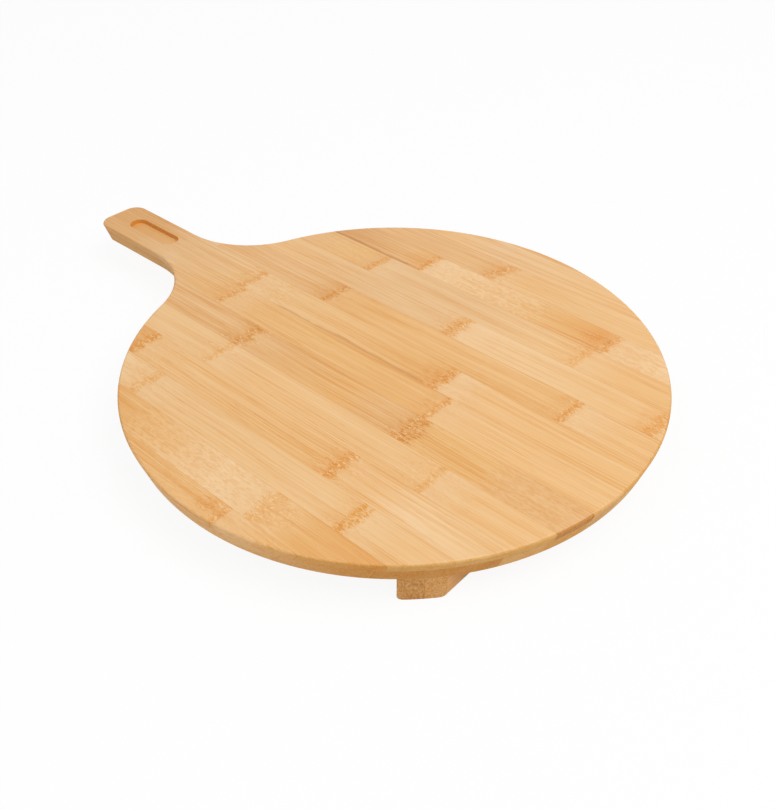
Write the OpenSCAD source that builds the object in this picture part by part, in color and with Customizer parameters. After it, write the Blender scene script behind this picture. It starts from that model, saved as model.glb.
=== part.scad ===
// Round pizza serving board with a handle: two plies of bamboo strips on two runners.
// The handle points to -X, the serving face is up and the runners stand on z = 0.
// x = 0 and y = 0 are the middle of the whole length and the handle's centre line.

/* [Head] */
// Diameter of the round head
head_d = 320; // [290:1:360]
// Radius of the rounding along the plate's upper edge
edge_r = 1.5; // [0.8:0.1:2.6]
// How far the plate's side leans in from its widest place down to its lower edge
undercut = 3.8; // [1:0.1:4.5]

/* [Plies] */
// Thickness of the top ply
top_ply_t = 5.5; // [5:0.1:9]
// Thickness of the bottom ply
bottom_ply_t = 8.1; // [3:0.1:10]
// How many strip widths the head is across
strips_across = 13.85; // [12:0.05:16]
// Place of the top ply's glue seam next to the centre line
top_seam_y = -6.5; // [-9:0.5:-4]
// How far the bottom ply's seams lie beside those of the top ply
seam_stagger = 2.5; // [1:0.5:5]

/* [Handle] */
// How far the handle stands out beyond the head's rim
handle_l = 112; // [95:1:160]
// Width of the handle
handle_w = 35; // [30:0.2:40]
// Radius of the handle's two end corners
handle_corner_r = 9.5; // [5:0.5:14]
// Radius of the hollow curves between the handle and the head
neck_r = 58; // [40:1:80]

/* [Recess] */
// Length of the blind recess in the handle's top
recess_l = 47; // [30:1:60]
// Width of the recess, whose ends are half circles
recess_w = 13; // [10:0.5:18]
// Depth of the recess
recess_depth = 3; // [2:0.1:4.8]
// Wood left between the handle's end and the recess
recess_setback = 19.4; // [12:0.2:30]

/* [Runners] */
// Height of each runner, which is the gap under the plate
runner_h = 15; // [10:0.5:30]
// Width of the runner's outer strip
runner_outer_w = 7.2; // [5:0.2:12]
// Width of the runner's inner strip
runner_inner_w = 9.6; // [5:0.2:12]
// From the head's centre to the runner's outer side
runner_reach = 121; // [90:1:130]
// How far the runner's ends stand in from the rim
runner_inset = 4; // [1:0.5:12]
// Radius of the rounding along the runner's two lower edges
runner_edge_r = 2.5; // [0.5:0.1:3]

/* [Hidden] */
// Shapes for the eye only: the curves are true circles
$fn = 300;
// How far a cutting shape runs past what it cuts
overrun = 1;
// Beside the handle a strip is nowhere narrower than this: its neighbour reaches the edge instead
thinnest_strip = 6;
// At the rim a seam stands at least this far in from the head's widest place
thinnest_rim_strip = 1.2;

head_r = head_d / 2;
plate_t = top_ply_t + bottom_ply_t;
// Height over the plate's underside where its side is widest
knee_z = plate_t - edge_r;
head_x = handle_l / 2;
handle_end_x = -head_r - handle_l;
handle_half_w = handle_w / 2;

// The hollow curve touches the handle's side and the head's rim
neck_y = handle_half_w + neck_r;
neck_x = -sqrt(pow(head_r + neck_r, 2) - pow(neck_y, 2));
neck_touch_y = neck_y * head_r / (head_r + neck_r);

// How far along the neck's side stands y from the centre line
function neck_side_x(y) = neck_x + sqrt(pow(neck_r, 2) - pow(neck_y - y, 2));

// Where the strip outside a seam starts: at the handle's end, or on the neck if it is a feather before
function start_x(y) =
    abs(abs(y) - handle_half_w) < thinnest_strip
        ? neck_side_x(abs(y) + thinnest_strip)
        : handle_end_x - overrun;

recess_r = recess_w / 2;
recess_start_x = handle_end_x + recess_setback + recess_r;
recess_stop_x = handle_end_x + recess_setback + recess_l - recess_r;

runner_end_r = head_r - runner_inset;

strip_w = head_d / strips_across;

// Seams of one ply, counted both ways from the one at start_y
function seams(start_y) = [
    for (i = [-ceil(strips_across / 2) : ceil(strips_across / 2)])
        if (abs(start_y + i * strip_w) < head_r - thinnest_rim_strip)
            start_y + i * strip_w
];
function strip_bounds(start_y) = concat(-head_r - overrun, seams(start_y), head_r + overrun);

TOP_BOUNDS = strip_bounds(top_seam_y);
BOTTOM_BOUNDS = strip_bounds(top_seam_y - seam_stagger);
TOP_COUNT = len(TOP_BOUNDS) - 1;
BOTTOM_COUNT = len(BOTTOM_BOUNDS) - 1;

// Two figures keep the names in order
function numbered(stem, i) = str(stem, i < 9 ? "0" : "", i + 1);
function top_name(i) = numbered("top_strip_", i);
function bottom_name(i) = numbered("bottom_strip_", i);

// Colours of the strips from the near rim (-Y) to the far rim (+Y)
honey = [0.90, 0.71, 0.46];
amber = [0.85, 0.61, 0.35];
pale = [0.94, 0.78, 0.57];
tan_tone = [0.86, 0.67, 0.45];
smoked = [0.76, 0.62, 0.43];
shaded = [0.78, 0.61, 0.40];
top_tones = [
    honey, amber, honey, honey, pale,
    smoked, honey, pale, tan_tone, pale,
    pale, tan_tone, pale, pale, tan_tone
];
bottom_tones = [shaded, tan_tone, shaded, honey, shaded];
function tone_of(tones, i) = tones[i % len(tones)];

// Section of the plate from its middle out to an edge: round above, and leaning in below
module rim_section(reach) {
    polygon([[0, 0], [reach - undercut, 0], [reach, knee_z], [0, knee_z]]);
    translate([0, knee_z])
        square([reach - edge_r, edge_r]);
    intersection() {
        translate([reach - edge_r, knee_z])
            circle(edge_r);
        translate([reach - 2 * edge_r, knee_z])
            square([2 * edge_r + overrun, edge_r + overrun]);
    }
}

module head() {
    rotate_extrude()
        rim_section(head_r);
}

// What a hollow curve takes away, wider above and below so that the plate keeps its section there
module neck_cutter() {
    low_r = neck_r + undercut;
    rotate_extrude() {
        polygon([[0, -overrun], [low_r, -overrun], [low_r, 0], [neck_r, knee_z], [0, knee_z]]);
        difference() {
            translate([0, knee_z])
                square([neck_r + edge_r, edge_r + overrun]);
            translate([neck_r + edge_r, knee_z])
                circle(edge_r);
        }
    }
}

// The waist between the handle and the head
module neck() {
    difference() {
        linear_extrude(plate_t)
            polygon([[0, 0], [neck_x, neck_y], [neck_x, -neck_y]]);
        for (side = [-1, 1])
            translate([neck_x, side * neck_y, 0])
                neck_cutter();
    }
}

// The handle's straight part and its end with two round corners
module handle() {
    corner_x = handle_end_x + handle_corner_r;
    corner_y = handle_half_w - handle_corner_r;
    translate([corner_x, 0, 0])
        rotate([90, 0, 90])
            linear_extrude(neck_x - corner_x)
                for (side = [0, 1])
                    mirror([side, 0])
                        rim_section(handle_half_w);
    translate([corner_x, corner_y, 0])
        rotate([90, 0, 0])
            linear_extrude(2 * corner_y)
                mirror([1, 0])
                    rim_section(handle_corner_r);
    for (side = [-1, 1])
        translate([corner_x, side * corner_y, 0])
            rotate_extrude()
                rim_section(handle_corner_r);
}

module recess() {
    translate([0, 0, plate_t - recess_depth]) {
        for (x = [recess_start_x, recess_stop_x])
            translate([x, 0, 0])
                cylinder(h = recess_depth + overrun, r = recess_r);
        translate([recess_start_x, -recess_r, 0])
            cube([recess_stop_x - recess_start_x, recess_w, recess_depth + overrun]);
    }
}

// Plan of a strip between two seams, with what its outer neighbour leaves to it beside the handle
module strip_plan(low, high) {
    start = start_x(low > 0 ? low : high < 0 ? high : 0);
    translate([start, low])
        square([head_r + overrun - start, high - low]);
    if (high > 0 && start_x(high) > start)
        translate([start, low])
            square([start_x(high) - start, high - low + strip_w]);
    if (low < 0 && start_x(low) > start)
        translate([start, low - strip_w])
            square([start_x(low) - start, high - low + strip_w]);
}

// The plate as far as strips between y = low and y = high meet it
module plate(low, high) {
    near = low > 0 ? low : high < 0 ? -high : 0;
    head();
    if (near < neck_touch_y)
        neck();
    if (near < handle_half_w)
        handle();
}

// One strip of a ply: the plate within the strip's plan, from one level up to another
module strip(bounds, i, from, to) {
    low = bounds[i];
    high = bounds[i + 1];
    translate([head_x, 0, runner_h])
        intersection() {
            plate(low, high);
            translate([0, 0, from])
                linear_extrude(to - from)
                    strip_plan(low, high);
        }
}

module top_strip(i) {
    meets_recess = TOP_BOUNDS[i] < recess_r && TOP_BOUNDS[i + 1] > -recess_r;
    color(tone_of(top_tones, i))
        difference() {
            strip(TOP_BOUNDS, i, bottom_ply_t, plate_t + overrun);
            if (meets_recess)
                translate([head_x, 0, runner_h])
                    recess();
        }
}

module bottom_strip(i) {
    color(tone_of(bottom_tones, i))
        strip(BOTTOM_BOUNDS, i, -overrun, bottom_ply_t);
}

// One strip of a runner from its glued side at x = 0 out to x = width, lower outer edge round
module runner_strip(width) {
    rotate([90, 0, 0])
        linear_extrude(2 * head_r, center = true) {
            square([width - runner_edge_r, runner_h]);
            translate([0, runner_edge_r])
                square([width, runner_h - runner_edge_r]);
            translate([width - runner_edge_r, runner_edge_r])
                circle(runner_edge_r);
        }
}

// Both ends of a runner follow the rim
module within_rim() {
    intersection() {
        children();
        cylinder(h = runner_h, r = runner_end_r);
    }
}

module runner_outer_strip() {
    color(tan_tone)
        within_rim()
            translate([runner_reach - runner_outer_w, 0, 0])
                runner_strip(runner_outer_w);
}

module runner_inner_strip() {
    color(shaded)
        within_rim()
            translate([runner_reach - runner_outer_w, 0, 0])
                mirror([1, 0, 0])
                    runner_strip(runner_inner_w);
}

module front_runner_outer_strip() {
    translate([head_x, 0, 0])
        runner_outer_strip();
}

module front_runner_inner_strip() {
    translate([head_x, 0, 0])
        runner_inner_strip();
}

module handle_runner_inner_strip() {
    translate([head_x, 0, 0])
        mirror([1, 0, 0])
            runner_inner_strip();
}

module handle_runner_outer_strip() {
    translate([head_x, 0, 0])
        mirror([1, 0, 0])
            runner_outer_strip();
}

for (i = [0 : TOP_COUNT - 1])
    top_strip(i);
for (i = [0 : BOTTOM_COUNT - 1])
    bottom_strip(i);
front_runner_outer_strip();
front_runner_inner_strip();
handle_runner_inner_strip();
handle_runner_outer_strip();
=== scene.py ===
"""Round bamboo serving board with a handle: camera, light, floor and the bamboo of every strip."""

import bpy
from mathutils import Matrix, Vector

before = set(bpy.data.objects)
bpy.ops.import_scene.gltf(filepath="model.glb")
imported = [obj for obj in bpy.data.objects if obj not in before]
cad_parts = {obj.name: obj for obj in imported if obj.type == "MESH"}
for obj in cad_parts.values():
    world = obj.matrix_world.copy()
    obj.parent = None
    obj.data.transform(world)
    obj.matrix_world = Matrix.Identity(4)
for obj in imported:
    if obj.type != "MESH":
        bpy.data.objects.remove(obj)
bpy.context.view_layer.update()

# Sizes are in millimetres in the frame of the part, and the materials work in them too
MM = 0.001
HEAD_X = 56.0
HEAD_R = 160.0
STRIPS_ACROSS = 13.85
STRIP_W = 2 * HEAD_R / STRIPS_ACROSS
# Beside the centre line lies the near seam of this strip, in each ply at its own place
SEAM_STRIP = 8
TOP_SEAM_Y = -6.5
BOTTOM_SEAM_Y = -9.0
UNDERSIDE_Z = 15.0
PLY_SEAM_Z = 23.1
TOP_Z = 28.6
RECESS_X = (-196.6, -149.6)
RECESS_HALF_W = 6.5
RECESS_FLOOR_Z = 25.6
# Sides and seam of a runner, counted from the head's centre
RUNNER_INNER_X = 104.2
RUNNER_SEAM_X = 113.8
RUNNER_OUTER_X = 121.0

# The camera in metres and in pixels of the photo, as fitted to the rim and the seams
CAMERA_AT = (0.36993, -0.35570, 0.38108)
CAMERA_RIGHT = (0.74830, 0.66336, 0.00297)
CAMERA_FORWARD = (-0.53115, 0.60183, -0.59638)
FOCAL_PX = 1000.55
FRAME_PX = (775, 810)
CENTRE_SHIFT_PX = (-7.210, -45.519)
SENSOR_MM = 36.0
NEAREST_SEEN = 0.01

# Lamps: name, place and size in metres, power in watts
LAMPS = (
    ("soft_key", (0.9, 0.3, 1.7), 1.5, 22.5),
    ("soft_fill", (-0.4, -1.2, 1.5), 1.3, 5.0),
)
LAMP_TARGET = (0.03, 0.0, 0.02)
# Strength of the room's light on things, and of the backdrop as the camera sees it
ROOM_LIGHT = 0.40
BACKDROP = 1.0
FLOOR_SIZE = 12.0
FLOOR_ROUGHNESS = 0.9
# How much of the floor shows white by itself, so that only part of the shadow stays
FLOOR_GLOW = 0.92


def from_screen(red, green, blue):
    """Linear colour of a tone given as it looks on a screen, 0 to 255."""
    def linear(value):
        """One of the three values as an amount of light."""
        share = value / 255
        return share / 12.92 if share <= 0.04045 else ((share + 0.055) / 1.055) ** 2.4
    return (linear(red), linear(green), linear(blue), 1.0)


# Tones of the wood
FLECK = from_screen(247, 211, 161)
CREAM = from_screen(246, 209, 162)
PALE = from_screen(241, 198, 143)
STRAW = from_screen(241, 195, 137)
HONEY = from_screen(239, 191, 130)
AMBER = from_screen(236, 184, 118)
ORANGE = from_screen(233, 172, 101)
TAN = from_screen(235, 188, 132)
BEIGE = from_screen(236, 194, 143)
# A deeper tan, given to the strips at the handle's end
DEEPER_TAN = from_screen(227, 176, 115)
LINEN = from_screen(240, 201, 154)
SMOKED = from_screen(233, 185, 127)
OLIVE = from_screen(238, 190, 126)
RUSSET = from_screen(222, 168, 108)
UNDERSIDE = from_screen(228, 180, 122)
# The recess wall's orange is the cut wood's tone, graded by height as painted shading; the recess floor's
# darker tone is painted shade
RECESS_WALL = from_screen(238, 164, 70)
RECESS_FLOOR_SHADE = from_screen(222, 166, 92)

# What darker marks leave of the wood's tone
BROWN_FIBRE = (0.87, 0.68, 0.43, 1.0)
KNUCKLE = (0.87, 0.60, 0.23, 1.0)
DARK_KNUCKLE = (0.86, 0.62, 0.26, 1.0)
LIGHT_KNUCKLE = (0.91, 0.68, 0.34, 1.0)
END_GRAIN = (0.84, 0.75, 0.47, 1.0)
DARK_END = (0.67, 0.48, 0.22, 1.0)
BROWN_END = (0.78, 0.61, 0.32, 1.0)
PALE_END = (0.94, 0.92, 0.74, 1.0)
BEIGE_END = (0.87, 0.83, 0.66, 1.0)
SPECKLED_END = (0.76, 0.62, 0.39, 1.0)
GLUE = (0.82, 0.68, 0.50, 1.0)
EDGE_STAIN = (0.66, 0.46, 0.28, 1.0)

WHITE = (1.0, 1.0, 1.0, 1.0)
FLOOR_WHITE = (0.94, 0.94, 0.94, 1.0)
ORIGIN = (0.0, 0.0, 0.0)

# Layers of the grain: how fast each changes per mm along, across and through a strip,
# then its detail, its roughness and its distortion
SLOW_WANDER = ((0.012, 0.04, 0.04), 1.0)
QUICK_WANDER = ((0.20, 0.45, 0.3), 1.0)
FINE_FIBRES = ((0.012, 2.3, 2.3), 3.0, 0.65)
MIDDLE_FIBRES = ((0.009, 1.0, 1.1), 2.0, 0.6)
BROAD_BANDS = ((0.006, 0.14, 0.25), 2.0, 0.5)
DASHES = ((0.07, 1.5, 1.5), 2.0, 0.6)
CLOUD_SPECKS = ((0.20, 0.65, 0.6), 3.0, 0.62, 0.8)
BRIGHT_FIBRES = ((0.011, 1.5, 1.5), 2.0)
KNUCKLE_BOW = ((0.0, 0.16, 0.16), 1.0)
KNUCKLE_TEETH = ((0.03, 0.95, 0.95), 2.0, 0.6)
CURL_ALONG = ((0.5, 0.8, 0.8), 1.0)
CURL_ACROSS = ((0.35, 0.30, 0.3), 1.0)
KNUCKLE_CELLS = ((0.42, 1.2, 1.2), 2.0, 0.55)
SMEAR_STREAKS = ((0.12, 0.95, 0.95), 2.0, 0.6)
RING_WOBBLE = ((0.30, 0.45, 0.3), 2.0)
STAIN_WAVE = ((0.05, 0.2, 0.2), 2.0)
CUT_FIBRES = ((1.0, 1.0, 1.0), 2.0, 0.6)

# Ramps over those layers: from, to, and what comes out at either end
FINE_LINES = (0.42, 0.62, 0.0, 0.46)
MIDDLE_LINES = (0.46, 0.62, 0.0, 0.36)
DASHED_LINES = (0.55, 0.67, 0.0, 0.34)
BAND_STRENGTH = (0.34, 0.62, 0.55, 1.15)
BAND_SHADE = (0.42, 0.66, 0.0, 0.12)
CLOUD_FLECKS = (0.42, 0.60, 0.0, 0.50)
BRIGHT_LINES = (0.53, 0.66, 0.0, 0.42)
CELL_DASHES = (0.45, 0.56, 0.22, 1.07)
CELL_FLECKS = (0.44, 0.34, 0.0, 0.75)
STREAK_STRENGTH = (0.36, 0.64, 0.35, 1.10)
RING_STRENGTH = (-0.4, 0.8)
FIBRE_ROUGHNESS = (-0.6, 0.9, 0.65, 0.55)

# How far fibres wander, and how far they stray within the first and beyond the second distance of a knuckle
WANDER_MM = 3.0
STRAY_MM = (4.0, 22.0, 4.5, 0.0)
# The share of its long lines that a clouded place loses
CLOUD_CALM = 0.6
# How deep fibres and knuckles lie in the fine bump
FIBRE_DEPTH = 0.7
KNUCKLE_DEPTH = 0.6
# A knuckle's bow and curls in mm, and its teeth and edges as shares of its width
BOW_MM = 5.0
CURL_ALONG_MM = 4.0
CURL_ACROSS_MM = 5.0
TEETH_SHARE = 1.4
FULL_SHARE = 0.25
GONE_SHARE = 0.675
# Where the smear and the pale patch set in and fade beside a knuckle
SMEAR_START = (-2.0, 1.0)
SMEAR_STOP = (1.0, 22.0, 1.0, 0.0)
PATCH_START = (1.5, -2.5)
PATCH_STOP = (-30.0, -8.0)
# Rings of a whorl: how narrow across the strip, how far they wobble, how close, and where they fade
WHORL_SQUEEZE = 1.5
RING_WOBBLE_MM = 9.0
RING_TURN_PER_MM = 2.4
WHORL_FADE_SHARE = 0.45
# Glue lines by the distance from the seam, and cut fibres by how far the surface faces along them
GLUE_LINE = (0.08, 0.34, 0.45, 0.0)
CUT_FACE = (0.15, 0.65)
DOTS_ALONG = 0.05
DOTS_ACROSS = 1.7
DOT_EDGES = (0.40, 0.60)
DOT_STRENGTH = 0.95
# The dark wavy line beside a seam
STAIN_WAVE_MM = 5.0
STAIN_OFF_SEAM = 0.8
STAIN_WIDTH = (0.2, 2.0, 1.0, 0.0)
# How far a stretch of a strip fades at both its ends
STRETCH_FADE = 8.0
# Range of X that the tones of a strip cover
TONE_X = (-280.0, 170.0)
# Middle of noise, and of a colour ramp
MIDDLE = 0.5
# Each strip takes its grain from another place, so that no two are alike
GRAIN_STEP_MM = (37.0, 11.3, 5.1)
KNUCKLE_STEP_MM = 7.7
# The oiled faces look up, and are smoother and shinier than the sanded edges
OILED_FACE = (0.2, 0.9)
OIL_SMOOTHING = 0.15
OIL_SHINE = 0.27
EDGE_SHINE = 0.08
BAMBOO_IOR = 1.45
BUMP_STRENGTH = 0.22
BUMP_HEIGHT = 0.12 * MM
# Edges of the recess: how far outside it its colours end, and where they set in over its floor
# and under its rim. The wall's orange is graded by height as painted shading, and the floor's darker tone is
# painted shade
RECESS_FADE = (0.2, 0.6)
WALL_FOOT = (0.02, 0.3)
WALL_RIM = (0.4, 0.1)
WALL_SHADING = (0.5, 0.8, 0.45, 0.9)
FLOOR_SHADING = (0.02, 0.2, 0.45, 0.0)

OUTPUT_KINDS = {"Colour": "NodeSocketColor", "Height": "NodeSocketFloat"}


class Tree:
    """Short calls for the nodes of one shader tree or group."""

    def __init__(self, tree):
        self.tree = tree

    def add(self, kind, **settings):
        """A new node with its settings."""
        node = self.tree.nodes.new(kind)
        for name, value in settings.items():
            setattr(node, name, value)
        return node

    def feed(self, socket, value):
        """Links a socket, or writes a plain value."""
        if isinstance(value, bpy.types.NodeSocket):
            self.tree.links.new(value, socket)
        else:
            socket.default_value = value

    def math(self, operation, *values):
        """Result of one operation on numbers."""
        node = self.add("ShaderNodeMath", operation=operation)
        for socket, value in zip(node.inputs, values):
            self.feed(socket, value)
        return node.outputs[0]

    def plus(self, first, second):
        """Sum of two numbers."""
        return self.math("ADD", first, second)

    def minus(self, first, second):
        """Difference of two numbers."""
        return self.math("SUBTRACT", first, second)

    def times(self, first, second):
        """Product of two numbers."""
        return self.math("MULTIPLY", first, second)

    def apart(self, first, second):
        """How far two numbers are from each other."""
        return self.math("ABSOLUTE", self.minus(first, second))

    def ramp(self, value, low, high, to_low=0.0, to_high=1.0):
        """Smooth step of a value from low to high."""
        node = self.add("ShaderNodeMapRange", interpolation_type="SMOOTHSTEP")
        for name, given in (("Value", value), ("From Min", low), ("From Max", high),
                            ("To Min", to_low), ("To Max", to_high)):
            self.feed(node.inputs[name], given)
        return node.outputs["Result"]

    def point(self, x, y, z):
        """A place made of its three numbers."""
        node = self.add("ShaderNodeCombineXYZ")
        for socket, value in zip(node.inputs, (x, y, z)):
            self.feed(socket, value)
        return node.outputs[0]

    def split(self, place):
        """The three numbers of a place."""
        node = self.add("ShaderNodeSeparateXYZ")
        self.feed(node.inputs[0], place)
        return tuple(node.outputs)

    def vector(self, operation, place, by):
        """A place moved or stretched by another."""
        node = self.add("ShaderNodeVectorMath", operation=operation)
        self.feed(node.inputs[0], place)
        self.feed(node.inputs[1], by)
        return node.outputs[0]

    def noise(self, place, rate, detail, roughness=0.5, distortion=0.0):
        """Soft noise from 0 to 1. The rate says how fast it changes per mm along each axis."""
        node = self.add("ShaderNodeTexNoise", noise_dimensions="3D")
        self.feed(node.inputs["Vector"], self.vector("MULTIPLY", place, rate))
        node.inputs["Scale"].default_value = 1.0
        node.inputs["Detail"].default_value = detail
        node.inputs["Roughness"].default_value = roughness
        node.inputs["Distortion"].default_value = distortion
        return node.outputs["Fac"]

    def sway(self, noise, reach):
        """Noise as a shift to both sides, by half the reach each way."""
        return self.times(self.minus(noise, MIDDLE), reach)

    def mix(self, share, first, second, blend="MIX"):
        """Two colours blended by a share of the second."""
        node = self.add("ShaderNodeMix", data_type="RGBA", blend_type=blend)
        self.feed(node.inputs[0], share)
        self.feed(node.inputs[6], first)
        self.feed(node.inputs[7], second)
        return node.outputs[2]

    def stained(self, colour, stain):
        """What a darker mark leaves of a colour."""
        return self.mix(1.0, colour, stain, "MULTIPLY")


def socket_kind(default):
    """Kind of a group's socket, by its default: a number, a place or a colour."""
    if isinstance(default, float):
        return "NodeSocketFloat"
    return "NodeSocketVector" if len(default) == len(ORIGIN) else "NodeSocketColor"


def new_group(name, inputs, outputs):
    """An empty node group with its named sockets, and its two end nodes."""
    group = bpy.data.node_groups.new(name, "ShaderNodeTree")
    for label, default in inputs.items():
        socket = group.interface.new_socket(label, in_out="INPUT", socket_type=socket_kind(default))
        socket.default_value = default
    for label in outputs:
        group.interface.new_socket(label, in_out="OUTPUT", socket_type=OUTPUT_KINDS[label])
    tree = Tree(group)
    return group, tree, tree.add("NodeGroupInput").outputs, tree.add("NodeGroupOutput").inputs


def fibre_group():
    """Bamboo without knuckles: long fibres along X that show as dots where they end."""
    group, t, given, made = new_group(
        "bamboo_fibres",
        {"Place": ORIGIN, "Tone": HONEY, "Lines": 1.0, "Cloud": 0.0, "Stray": 0.0},
        ("Colour", "Height"))
    place = given["Place"]
    # Fibres wander slowly to the side, and more where something disturbs them
    slow = t.sway(t.noise(place, *SLOW_WANDER), WANDER_MM)
    quick = t.sway(t.noise(place, *QUICK_WANDER), given["Stray"])
    bent = t.vector("ADD", place, t.point(0.0, t.plus(slow, quick), 0.0))
    fine = t.noise(bent, *FINE_FIBRES)
    middle = t.noise(bent, *MIDDLE_FIBRES)
    broad = t.noise(bent, *BROAD_BANDS)
    lines = t.plus(t.ramp(fine, *FINE_LINES), t.ramp(middle, *MIDDLE_LINES))
    lines = t.plus(lines, t.ramp(t.noise(bent, *DASHES), *DASHED_LINES))
    lines = t.times(lines, t.ramp(broad, *BAND_STRENGTH))
    lines = t.times(t.plus(lines, t.ramp(broad, *BAND_SHADE)), given["Lines"])
    # A clouded place has flecks in the stead of long lines
    steady = t.minus(1.0, t.times(given["Cloud"], CLOUD_CALM))
    flecks = t.times(t.ramp(t.noise(bent, *CLOUD_SPECKS), *CLOUD_FLECKS), given["Cloud"])
    dark = t.plus(t.times(lines, steady), flecks)
    bright = t.ramp(t.noise(bent, *BRIGHT_FIBRES), *BRIGHT_LINES)
    lined = t.mix(dark, given["Tone"], t.stained(given["Tone"], BROWN_FIBRE))
    t.feed(made["Colour"], t.mix(bright, lined, CREAM))
    t.feed(made["Height"], t.minus(fine, t.times(dark, FIBRE_DEPTH)))
    return group


def knuckle_group():
    """One knuckle across a strip: ragged dark dashes, a smear to one side and a pale patch to the other."""
    group, t, given, made = new_group(
        "bamboo_knuckle",
        {"Place": ORIGIN, "Colour": HONEY, "At X": 0.0, "Middle Y": 0.0, "Width": 6.0, "Slant": 0.0,
         "Strength": 1.0, "Smear": 0.3, "Patch": 0.3, "Side": 1.0, "Stain": KNUCKLE},
        ("Colour", "Height"))
    place = given["Place"]
    x, y, _ = t.split(place)
    lean = t.times(t.minus(y, given["Middle Y"]), given["Slant"])
    along = t.minus(t.minus(x, given["At X"]), lean)
    bow = t.sway(t.noise(place, *KNUCKLE_BOW), BOW_MM)
    teeth = t.sway(t.noise(place, *KNUCKLE_TEETH), t.times(given["Width"], TEETH_SHARE))
    off = t.math("ABSOLUTE", t.plus(along, t.plus(bow, teeth)))
    band = t.ramp(off, t.times(given["Width"], FULL_SHARE), t.times(given["Width"], GONE_SHARE), 1.0, 0.0)
    # Short curled dashes, dark and light side by side, make up the knuckle
    curl_x = t.sway(t.noise(place, *CURL_ALONG), CURL_ALONG_MM)
    curl_y = t.sway(t.noise(place, *CURL_ACROSS), CURL_ACROSS_MM)
    curled = t.vector("ADD", place, t.point(curl_x, curl_y, 0.0))
    cells = t.noise(curled, *KNUCKLE_CELLS)
    flecks = t.times(t.ramp(cells, *CELL_FLECKS), band)
    core = t.times(band, t.ramp(cells, *CELL_DASHES))
    # The smear lies on the side given by the sign of Side, the pale patch on the other
    turned = t.times(t.plus(along, bow), given["Side"])
    smear = t.times(t.ramp(turned, *SMEAR_START), t.ramp(turned, *SMEAR_STOP))
    smear = t.times(smear, t.ramp(t.noise(curled, *SMEAR_STREAKS), *STREAK_STRENGTH))
    patch = t.times(t.ramp(turned, *PATCH_START), t.ramp(turned, *PATCH_STOP))
    patched = t.mix(t.times(patch, given["Patch"]), given["Colour"], LINEN)
    stained = t.stained(patched, given["Stain"])
    smeared = t.mix(t.times(smear, given["Smear"]), patched, stained)
    dark = t.times(core, given["Strength"])
    t.feed(made["Colour"], t.mix(dark, t.mix(flecks, smeared, FLECK), stained))
    t.feed(made["Height"], dark)
    return group


def whorl_group():
    """Fine rings like a fingerprint beside a knuckle."""
    group, t, given, made = new_group(
        "bamboo_whorl",
        {"Place": ORIGIN, "Colour": HONEY, "At X": 0.0, "At Y": 0.0, "Reach": 12.0, "Strength": 0.4},
        ("Colour",))
    x, y, _ = t.split(given["Place"])
    dx = t.minus(x, given["At X"])
    dy = t.times(t.minus(y, given["At Y"]), WHORL_SQUEEZE)
    far = t.math("SQRT", t.plus(t.times(dx, dx), t.times(dy, dy)))
    wobble = t.times(t.noise(given["Place"], *RING_WOBBLE), RING_WOBBLE_MM)
    rings = t.math("SINE", t.times(t.plus(far, wobble), RING_TURN_PER_MM))
    fade = t.ramp(far, t.times(given["Reach"], WHORL_FADE_SHARE), given["Reach"], 1.0, 0.0)
    share = t.times(t.ramp(rings, *RING_STRENGTH), t.times(fade, given["Strength"]))
    t.feed(made["Colour"], t.mix(share, given["Colour"], t.stained(given["Colour"], LIGHT_KNUCKLE)))
    return group


def joint_group():
    """What every glued strip shares: thin glue lines at its joints, and darker wood where its fibres end."""
    group, t, given, made = new_group(
        "bamboo_joints",
        {"Place": ORIGIN, "Colour": HONEY, "Low Y": 0.0, "High Y": 0.0, "Glue Z": 0.0, "Facing": 0.0,
         "End": END_GRAIN, "Dot Rise": 0.5, "Dot Low": 0.7},
        ("Colour",))
    x, y, z = t.split(given["Place"])
    near = t.math("MINIMUM", t.apart(y, given["Low Y"]), t.apart(given["High Y"], y))
    near = t.math("MINIMUM", near, t.apart(z, given["Glue Z"]))
    colour = t.mix(t.ramp(near, *GLUE_LINE), given["Colour"], t.stained(given["Colour"], GLUE))
    # Cut ends show the fibres as dots, and are darker than the faces along them
    flat = t.point(t.times(x, DOTS_ALONG), t.times(y, DOTS_ACROSS), t.times(z, given["Dot Rise"]))
    dots = t.ramp(t.noise(flat, *CUT_FIBRES), *DOT_EDGES, given["Dot Low"], DOT_STRENGTH)
    ends = t.times(t.ramp(t.math("ABSOLUTE", given["Facing"]), *CUT_FACE), dots)
    t.feed(made["Colour"], t.mix(ends, colour, t.stained(colour, given["End"])))
    return group


FIBRES = fibre_group()
KNUCKLES = knuckle_group()
WHORLS = whorl_group()
JOINTS = joint_group()


def use(t, group, **values):
    """Puts a node group into a material with its inputs given by name, and returns its outputs."""
    node = t.add("ShaderNodeGroup", node_tree=group)
    for name, value in values.items():
        t.feed(node.inputs[name.replace("_", " ")], value)
    return tuple(node.outputs)


def tone_ramp(t, x, stops):
    """Colour of a strip along its length, from (x, tone) stops."""
    ramp = t.add("ShaderNodeValToRGB")
    low, high = TONE_X
    t.feed(ramp.inputs[0], t.math("DIVIDE", t.minus(x, low), high - low))
    elements = ramp.color_ramp.elements
    while len(elements) < len(stops):
        elements.new(MIDDLE)
    for element, (at, tone) in zip(elements, stops):
        element.position = (at - low) / (high - low)
        element.color = tone
    return ramp.outputs[0]


def stretch_of(t, x, start, stop):
    """1 between two places along a strip, fading over a few millimetres at both."""
    rise = t.ramp(x, start - STRETCH_FADE, start + STRETCH_FADE)
    return t.times(rise, t.ramp(x, stop - STRETCH_FADE, stop + STRETCH_FADE, 1.0, 0.0))


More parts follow.
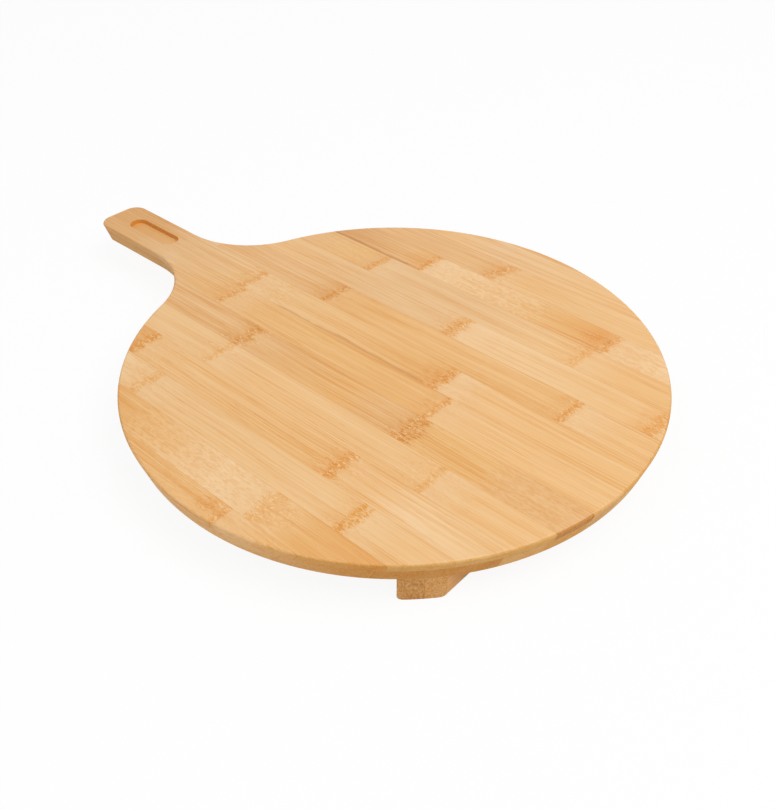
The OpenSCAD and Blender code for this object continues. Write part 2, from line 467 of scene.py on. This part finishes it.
def edge_stain(t, place, colour, seam_y, where, strength):
    """A dark wavy line along the strip's near seam."""
    wave = t.sway(t.noise(place, *STAIN_WAVE), STAIN_WAVE_MM)
    away = t.apart(t.minus(t.split(place)[1], seam_y + STAIN_OFF_SEAM), wave)
    share = t.times(t.ramp(away, *STAIN_WIDTH), t.times(where, strength))
    return t.mix(share, colour, t.stained(colour, EDGE_STAIN))


def recess_tones_and_shade(t, place, colour):
    """The cut walls of the handle's recess get a more orange tone, strongest along their upper edge as
    painted shading, and its floor gets a darker tone as painted shade.
    """
    x, y, z = t.split(place)
    x = t.plus(x, HEAD_X)
    near, far = RECESS_FADE
    inside = t.times(t.ramp(x, RECESS_X[0] - far, RECESS_X[0] - near),
                     t.ramp(x, RECESS_X[1] + near, RECESS_X[1] + far, 1.0, 0.0))
    from_axis = t.math("ABSOLUTE", y)
    inside = t.times(inside, t.ramp(from_axis, RECESS_HALF_W + near, RECESS_HALF_W + far, 1.0, 0.0))
    wall = t.times(t.ramp(z, TOP_Z - WALL_RIM[0], TOP_Z - WALL_RIM[1], 1.0, 0.0),
                   t.ramp(z, RECESS_FLOOR_Z + WALL_FOOT[0], RECESS_FLOOR_Z + WALL_FOOT[1]))
    over_floor, under_top, at_foot, at_rim = WALL_SHADING
    wall = t.times(wall, t.ramp(z, RECESS_FLOOR_Z + over_floor, TOP_Z - under_top, at_foot, at_rim))
    low, high, on_floor, above = FLOOR_SHADING
    floor = t.ramp(z, RECESS_FLOOR_Z + low, RECESS_FLOOR_Z + high, on_floor, above)
    # Painted shade: the recess floor is darkened, and the walls take their orange more strongly towards the
    # rim
    colour = t.mix(t.times(inside, floor), colour, RECESS_FLOOR_SHADE)
    return t.mix(t.times(inside, wall), colour, RECESS_WALL)


def strip_place(t, across):
    """Places of a strip in mm with its fibres along X, and how far its surface faces along them and up."""
    coordinates = t.add("ShaderNodeTexCoord").outputs
    scaled = t.add("ShaderNodeVectorMath", operation="SCALE")
    t.feed(scaled.inputs[0], coordinates["Object"])
    scaled.inputs["Scale"].default_value = 1 / MM
    place = t.vector("ADD", scaled.outputs[0], (-HEAD_X, 0.0, 0.0))
    normal_x, normal_y, normal_z = t.split(coordinates["Normal"])
    if not across:
        return place, normal_x, normal_z
    x, y, z = t.split(place)
    return t.point(y, x, z), normal_y, normal_z


def polish(t, shader, height, up):
    """Roughness, shine and a fine bump that follow the fibres and the oil on the faces."""
    oiled = t.ramp(up, *OILED_FACE)
    rough = t.ramp(height, *FIBRE_ROUGHNESS)
    t.feed(shader.inputs["Roughness"], t.minus(rough, t.times(oiled, OIL_SMOOTHING)))
    t.feed(shader.inputs["Specular IOR Level"], t.math("MULTIPLY_ADD", oiled, OIL_SHINE, EDGE_SHINE))
    shader.inputs["IOR"].default_value = BAMBOO_IOR
    bump = t.add("ShaderNodeBump")
    bump.inputs["Strength"].default_value = BUMP_STRENGTH
    bump.inputs["Distance"].default_value = BUMP_HEIGHT
    t.feed(bump.inputs["Height"], height)
    t.feed(shader.inputs["Normal"], bump.outputs[0])


def bamboo(name, seed, seams, glue_z, tones, lines=1.0, clouds=(), knuckles=(), whorls=(), edges=(),
           recess=False, across=False, end=END_GRAIN, dot_rise=0.45, dot_low=0.78):
    """The bamboo of one strip between its two seams. Places along X are counted from the head's centre.

    With across, the fibres run along Y, and the other places turn with them.
    """
    material = bpy.data.materials.new(name)
    material.use_nodes = True
    t = Tree(material.node_tree)
    place, facing, up = strip_place(t, across)
    x = t.split(place)[0]
    tone = tone_ramp(t, x, tones) if len(tones) > 1 else tones[0][1]
    stray = 0.0
    for mark in knuckles:
        stray = t.plus(stray, t.ramp(t.apart(x, mark["At_X"]), *STRAY_MM))
    cloud = 0.0
    for start, stop, strength in clouds:
        cloud = t.plus(cloud, t.times(stretch_of(t, x, start, stop), strength))
    own = t.vector("ADD", place, tuple(seed * step for step in GRAIN_STEP_MM))
    colour, height = use(t, FIBRES, Place=own, Tone=tone, Lines=lines, Cloud=cloud, Stray=stray)
    for mark in whorls:
        colour, = use(t, WHORLS, Place=place, Colour=colour, **mark)
    shifted = t.vector("ADD", place, (0.0, 0.0, seed * KNUCKLE_STEP_MM))
    for mark in knuckles:
        colour, dent = use(t, KNUCKLES, Place=shifted, Colour=colour, Middle_Y=sum(seams) / 2, **mark)
        height = t.minus(height, t.times(dent, KNUCKLE_DEPTH))
    for start, stop, strength in edges:
        colour = edge_stain(t, place, colour, seams[0], stretch_of(t, x, start, stop), strength)
    colour, = use(t, JOINTS, Place=place, Colour=colour, Low_Y=seams[0], High_Y=seams[1], Glue_Z=glue_z,
                  Facing=facing, End=end, Dot_Rise=dot_rise, Dot_Low=dot_low)
    if recess:
        colour = recess_tones_and_shade(t, place, colour)
    shader = material.node_tree.nodes["Principled BSDF"]
    t.feed(shader.inputs["Base Color"], colour)
    polish(t, shader, height, up)
    return material


def knuckle(x, width, strength=0.8, smear=0.3, patch=0.3, slant=0.0, side=-1.0, stain=KNUCKLE):
    """One knuckle of a strip. The slant is its shift in mm for each mm across the strip."""
    return dict(At_X=x, Width=width, Strength=strength, Smear=smear, Patch=patch, Slant=slant, Side=side,
                Stain=stain)


def whorl(x, y, reach, strength):
    """One whorl of a strip."""
    return dict(At_X=x, At_Y=y, Reach=reach, Strength=strength)


# The top ply from the near rim to the far one. Clouds and edges are (from X, to X, strength)
TOP_STRIPS = (
    dict(tones=((-70, AMBER), (-20, HONEY), (30, STRAW), (70, AMBER)), clouds=((-40, 60, 0.5),),
         knuckles=(knuckle(20.5, 4, smear=0.25),), whorls=(whorl(10, -151, 10, 0.5),)),
    dict(tones=((-105, ORANGE), (-82, AMBER), (-55, HONEY), (0, CREAM), (45, PALE), (60, AMBER),
                (110, ORANGE)),
         lines=0.9, clouds=((-75, 50, 0.9),),
         knuckles=(knuckle(32, 9, strength=0.6, side=1.0, stain=LIGHT_KNUCKLE),),
         whorls=(whorl(44, -132, 12, 0.35),)),
    dict(tones=((-120, CREAM), (-85, PALE), (80, PALE), (130, STRAW)), lines=0.9,
         clouds=((-115, -85, 0.5),),
         knuckles=(knuckle(-92, 7, strength=0.7, smear=0.2, stain=LIGHT_KNUCKLE),
                   knuckle(71, 8, strength=1.0, smear=0.35))),
    dict(tones=((-140, AMBER), (-128, HONEY), (-100, STRAW), (20, HONEY), (60, STRAW), (90, CREAM),
                (140, PALE)),
         clouds=((-115, -90, 0.4),),
         knuckles=(knuckle(-124, 8, strength=1.0, smear=0.7, patch=0.2),
                   knuckle(40, 8, smear=0.4, patch=0.2))),
    dict(tones=((-150, PALE), (-90, PALE), (-40, STRAW), (60, PALE), (140, STRAW)), lines=0.8,
         clouds=((60, 110, 0.4),),
         knuckles=(knuckle(-83, 6, strength=0.6, smear=0.15, stain=LIGHT_KNUCKLE),
                   knuckle(82, 5, strength=0.7, smear=0.1, patch=0.35, stain=LIGHT_KNUCKLE))),
    dict(tones=((-155, TAN), (-90, TAN), (-60, SMOKED), (0, AMBER), (25, TAN), (48, SMOKED), (62, OLIVE),
                (95, OLIVE), (115, TAN), (155, TAN)),
         lines=1.2, clouds=((100, 155, 0.8),), end=DARK_END,
         knuckles=(knuckle(-82, 9, strength=0.95, smear=0.5, patch=0.1, stain=DARK_KNUCKLE),
                   knuckle(49, 12, strength=0.95, patch=0.0, stain=DARK_KNUCKLE))),
    dict(tones=((-270, DEEPER_TAN), (-235, DEEPER_TAN), (-195, BEIGE), (-130, HONEY), (-60, OLIVE), (20, AMBER),
                (70, STRAW), (155, STRAW)),
         lines=0.95, clouds=((-122, -100, 0.4),), end=BEIGE_END, recess=True,
         knuckles=(knuckle(-125, 5, strength=0.75), knuckle(48, 4.5, strength=0.85, smear=0.35))),
    dict(tones=((-270, DEEPER_TAN), (-235, DEEPER_TAN), (-195, BEIGE), (-130, PALE), (-100, PALE), (-30, HONEY),
                (30, AMBER), (42, PALE), (62, STRAW), (155, HONEY)),
         lines=0.95, clouds=((-124, -92, 0.9), (15, 60, 0.5)), edges=((-95, 25, 0.55),), recess=True,
         knuckles=(knuckle(-128, 6, strength=0.75),
                   knuckle(34, 7, strength=0.9, smear=0.4, patch=0.45))),
    dict(tones=((-190, TAN), (-110, TAN), (-80, SMOKED), (-66, AMBER), (0, HONEY), (95, HONEY),
                (112, PALE), (155, STRAW)),
         lines=1.15,
         knuckles=(knuckle(-76, 6, strength=1.0, smear=0.45, patch=0.15, stain=DARK_KNUCKLE),
                   knuckle(104, 6, strength=0.85, patch=0.35))),
    dict(tones=((-155, STRAW), (-60, BEIGE), (-15, BEIGE), (20, CREAM), (100, PALE), (135, STRAW)),
         lines=0.75, clouds=((-10, 20, 0.5),),
         knuckles=(knuckle(7, 10, strength=0.9, smear=0.35),
                   knuckle(147, 9, strength=0.85, smear=0.5))),
    dict(tones=((-145, TAN), (-100, OLIVE), (-70, BEIGE), (0, BEIGE), (60, PALE), (90, STRAW),
                (140, HONEY)),
         lines=0.8, clouds=((-140, -90, 0.4),),
         knuckles=(knuckle(-81, 6), knuckle(81, 6, strength=0.65, smear=0.25, stain=LIGHT_KNUCKLE))),
    dict(tones=((-135, RUSSET), (-80, SMOKED), (-58, HONEY), (-45, CREAM), (25, PALE), (45, AMBER),
                (78, ORANGE), (92, PALE), (125, CREAM)),
         clouds=((-48, 40, 1.0), (88, 130, 0.9)), edges=((-140, -60, 0.7),),
         knuckles=(knuckle(-55, 6, strength=0.9, slant=0.12),
                   knuckle(87, 6, strength=0.75, smear=0.25, slant=0.12)),
         whorls=(whorl(-66, 97, 11, 0.45), whorl(76, 97, 12, 0.5))),
    dict(tones=((-120, TAN), (-20, TAN), (0, HONEY), (60, PALE), (110, STRAW)), lines=0.9,
         knuckles=(knuckle(-12, 10, strength=0.75, smear=0.4, patch=0.25, slant=0.35),)),
    dict(tones=((-90, AMBER), (-70, STRAW), (-30, LINEN), (40, PALE), (90, STRAW)), lines=0.85,
         knuckles=(knuckle(90, 6, strength=0.6, smear=0.2),)),
    dict(tones=((-40, AMBER), (40, TAN))),
)

# Tones and knuckle places that the bottom ply goes through again and again
BOTTOM_TONES = (PALE, HONEY, TAN, UNDERSIDE, SMOKED, HONEY, UNDERSIDE)
BOTTOM_KNUCKLES = (-96, 38, -30, 84, -64, 120, 4, -128, 62)
BOTTOM_WIDTHS = (6, 7, 8, 9)
# The rim shows the lower ply's own tones: brown below the near strips and pale to the right of them.
# The last one stands for all strips beyond
BOTTOM_ENDS = (BROWN_END, BROWN_END, BROWN_END, BROWN_END, PALE_END, END_GRAIN, PALE_END)
# Beyond its knuckle a bottom strip turns honey this far on
BOTTOM_TURN = 30
BOTTOM_REACH = 150
HIDDEN_LINES = 1.1
RUNNER_DOT_LOW = 0.1

# Runner strips: name, its two sides, tone, place of the knuckle, and how close the end's dots stand upward
RUNNER_STRIPS = (
    ("front_runner_outer_strip", (RUNNER_SEAM_X, RUNNER_OUTER_X), STRAW, 30, 1.5),
    ("front_runner_inner_strip", (RUNNER_INNER_X, RUNNER_SEAM_X), UNDERSIDE, -70, 0.7),
    ("handle_runner_inner_strip", (-RUNNER_SEAM_X, -RUNNER_INNER_X), UNDERSIDE, 55, 0.7),
    ("handle_runner_outer_strip", (-RUNNER_OUTER_X, -RUNNER_SEAM_X), STRAW, -20, 1.5),
)

# First seed of each kind of strip, and its step from strip to strip
TOP_SEED = (3.0, 2.37)
BOTTOM_SEED = (61.0, 3.11)
RUNNER_SEED = (121.0, 4.3)


def seed_of(seed, number):
    """Seed of a strip by its number."""
    first, step = seed
    return first + step * number


def seams_of(seam_y, number):
    """The two seams of a ply's strip, counted from 1 at the near rim."""
    low = seam_y + (number - SEAM_STRIP) * STRIP_W
    return (max(low, -HEAD_R), min(low + STRIP_W, HEAD_R))


def dress(node, material):
    """Gives a CAD node its material."""
    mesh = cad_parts[node].data
    mesh.materials.clear()
    mesh.materials.append(material)


def dress_top_ply():
    """Bamboo for the strips of the serving face, each with the marks seen on it."""
    for number, look in enumerate(TOP_STRIPS, start=1):
        dress(f"top_strip_{number:02d}",
              bamboo(f"top_bamboo_{number:02d}", seed_of(TOP_SEED, number), seams_of(TOP_SEAM_Y, number),
                     PLY_SEAM_Z, **look))


def dress_bottom_ply():
    """Bamboo for the strips below, with made up marks and the rim's own tones at their ends."""
    for i in range(len(TOP_STRIPS)):
        number = i + 1
        tone = BOTTOM_TONES[i % len(BOTTOM_TONES)]
        at = BOTTOM_KNUCKLES[i % len(BOTTOM_KNUCKLES)]
        width = BOTTOM_WIDTHS[i % len(BOTTOM_WIDTHS)]
        material = bamboo(
            f"bottom_bamboo_{number:02d}", seed_of(BOTTOM_SEED, number), seams_of(BOTTOM_SEAM_Y, number),
            PLY_SEAM_Z, lines=HIDDEN_LINES, end=BOTTOM_ENDS[min(i, len(BOTTOM_ENDS) - 1)],
            tones=((-BOTTOM_REACH, tone), (at, tone), (at + BOTTOM_TURN, HONEY), (BOTTOM_REACH, tone)),
            knuckles=(knuckle(at, width, smear=0.35, patch=0.2),))
        dress(f"bottom_strip_{number:02d}", material)


def dress_runners():
    """Bamboo for the runners, whose fibres run along Y."""
    for i, (node, sides, tone, at, dot_rise) in enumerate(RUNNER_STRIPS):
        dress(node, bamboo(f"runner_bamboo_{i + 1}", seed_of(RUNNER_SEED, i), sides, UNDERSIDE_Z,
                           tones=((0, tone),), lines=HIDDEN_LINES, knuckles=(knuckle(at, 7),), across=True,
                           end=SPECKLED_END, dot_rise=dot_rise, dot_low=RUNNER_DOT_LOW))


def add_camera():
    """The camera of the photo."""
    data = bpy.data.cameras.new("photo_camera")
    camera = bpy.data.objects.new("photo_camera", data)
    bpy.context.scene.collection.objects.link(camera)
    forward = Vector(CAMERA_FORWARD).normalized()
    right = Vector(CAMERA_RIGHT).normalized()
    up = right.cross(forward)
    turn = Matrix((right, up, -forward)).transposed().to_4x4()
    camera.matrix_world = Matrix.Translation(CAMERA_AT) @ turn
    data.sensor_width = SENSOR_MM
    data.lens = FOCAL_PX * SENSOR_MM / max(FRAME_PX)
    data.shift_x = CENTRE_SHIFT_PX[0] / max(FRAME_PX)
    data.shift_y = CENTRE_SHIFT_PX[1] / max(FRAME_PX)
    data.clip_start = NEAREST_SEEN
    bpy.context.scene.camera = camera


def seen_directly(t):
    """1 for the camera and for mirror reflections, 0 for light."""
    path = t.add("ShaderNodeLightPath")
    return t.math("MAXIMUM", path.outputs["Is Camera Ray"], path.outputs["Is Glossy Ray"])


def add_world():
    """Soft light from all around, and a white backdrop."""
    world = bpy.data.worlds.new("soft_room")
    bpy.context.scene.world = world
    world.use_nodes = True
    t = Tree(world.node_tree)
    background = world.node_tree.nodes["Background"]
    background.inputs["Color"].default_value = WHITE
    t.feed(background.inputs["Strength"], t.ramp(seen_directly(t), 0.0, 1.0, ROOM_LIGHT, BACKDROP))


def add_floor():
    """A pale floor that shows white to the camera and keeps part of the shadow."""
    bpy.ops.mesh.primitive_plane_add(size=FLOOR_SIZE, location=ORIGIN)
    floor = bpy.context.object
    floor.name = "floor"
    material = bpy.data.materials.new("pale_floor")
    material.use_nodes = True
    t = Tree(material.node_tree)
    nodes = material.node_tree.nodes
    shader = nodes["Principled BSDF"]
    shader.inputs["Base Color"].default_value = FLOOR_WHITE
    shader.inputs["Roughness"].default_value = FLOOR_ROUGHNESS
    shader.inputs["Specular IOR Level"].default_value = 0.0
    glow = t.add("ShaderNodeEmission")
    blend = t.add("ShaderNodeMixShader")
    t.feed(blend.inputs[0], t.times(seen_directly(t), FLOOR_GLOW))
    t.feed(blend.inputs[1], shader.outputs[0])
    t.feed(blend.inputs[2], glow.outputs[0])
    t.feed(nodes["Material Output"].inputs["Surface"], blend.outputs[0])
    floor.data.materials.append(material)


def add_lamp(name, at, size, power):
    """A round soft lamp that looks at the board and is not seen itself."""
    data = bpy.data.lights.new(name, "AREA")
    data.shape = "DISK"
    data.size = size
    data.energy = power
    lamp = bpy.data.objects.new(name, data)
    bpy.context.scene.collection.objects.link(lamp)
    lamp.location = at
    lamp.rotation_euler = (Vector(LAMP_TARGET) - Vector(at)).to_track_quat("-Z", "Y").to_euler()
    lamp.visible_camera = False


bpy.context.scene.view_settings.view_transform = "Standard"
add_camera()
add_world()
add_floor()
for lamp_look in LAMPS:
    add_lamp(*lamp_look)
dress_top_ply()
dress_bottom_ply()
dress_runners()
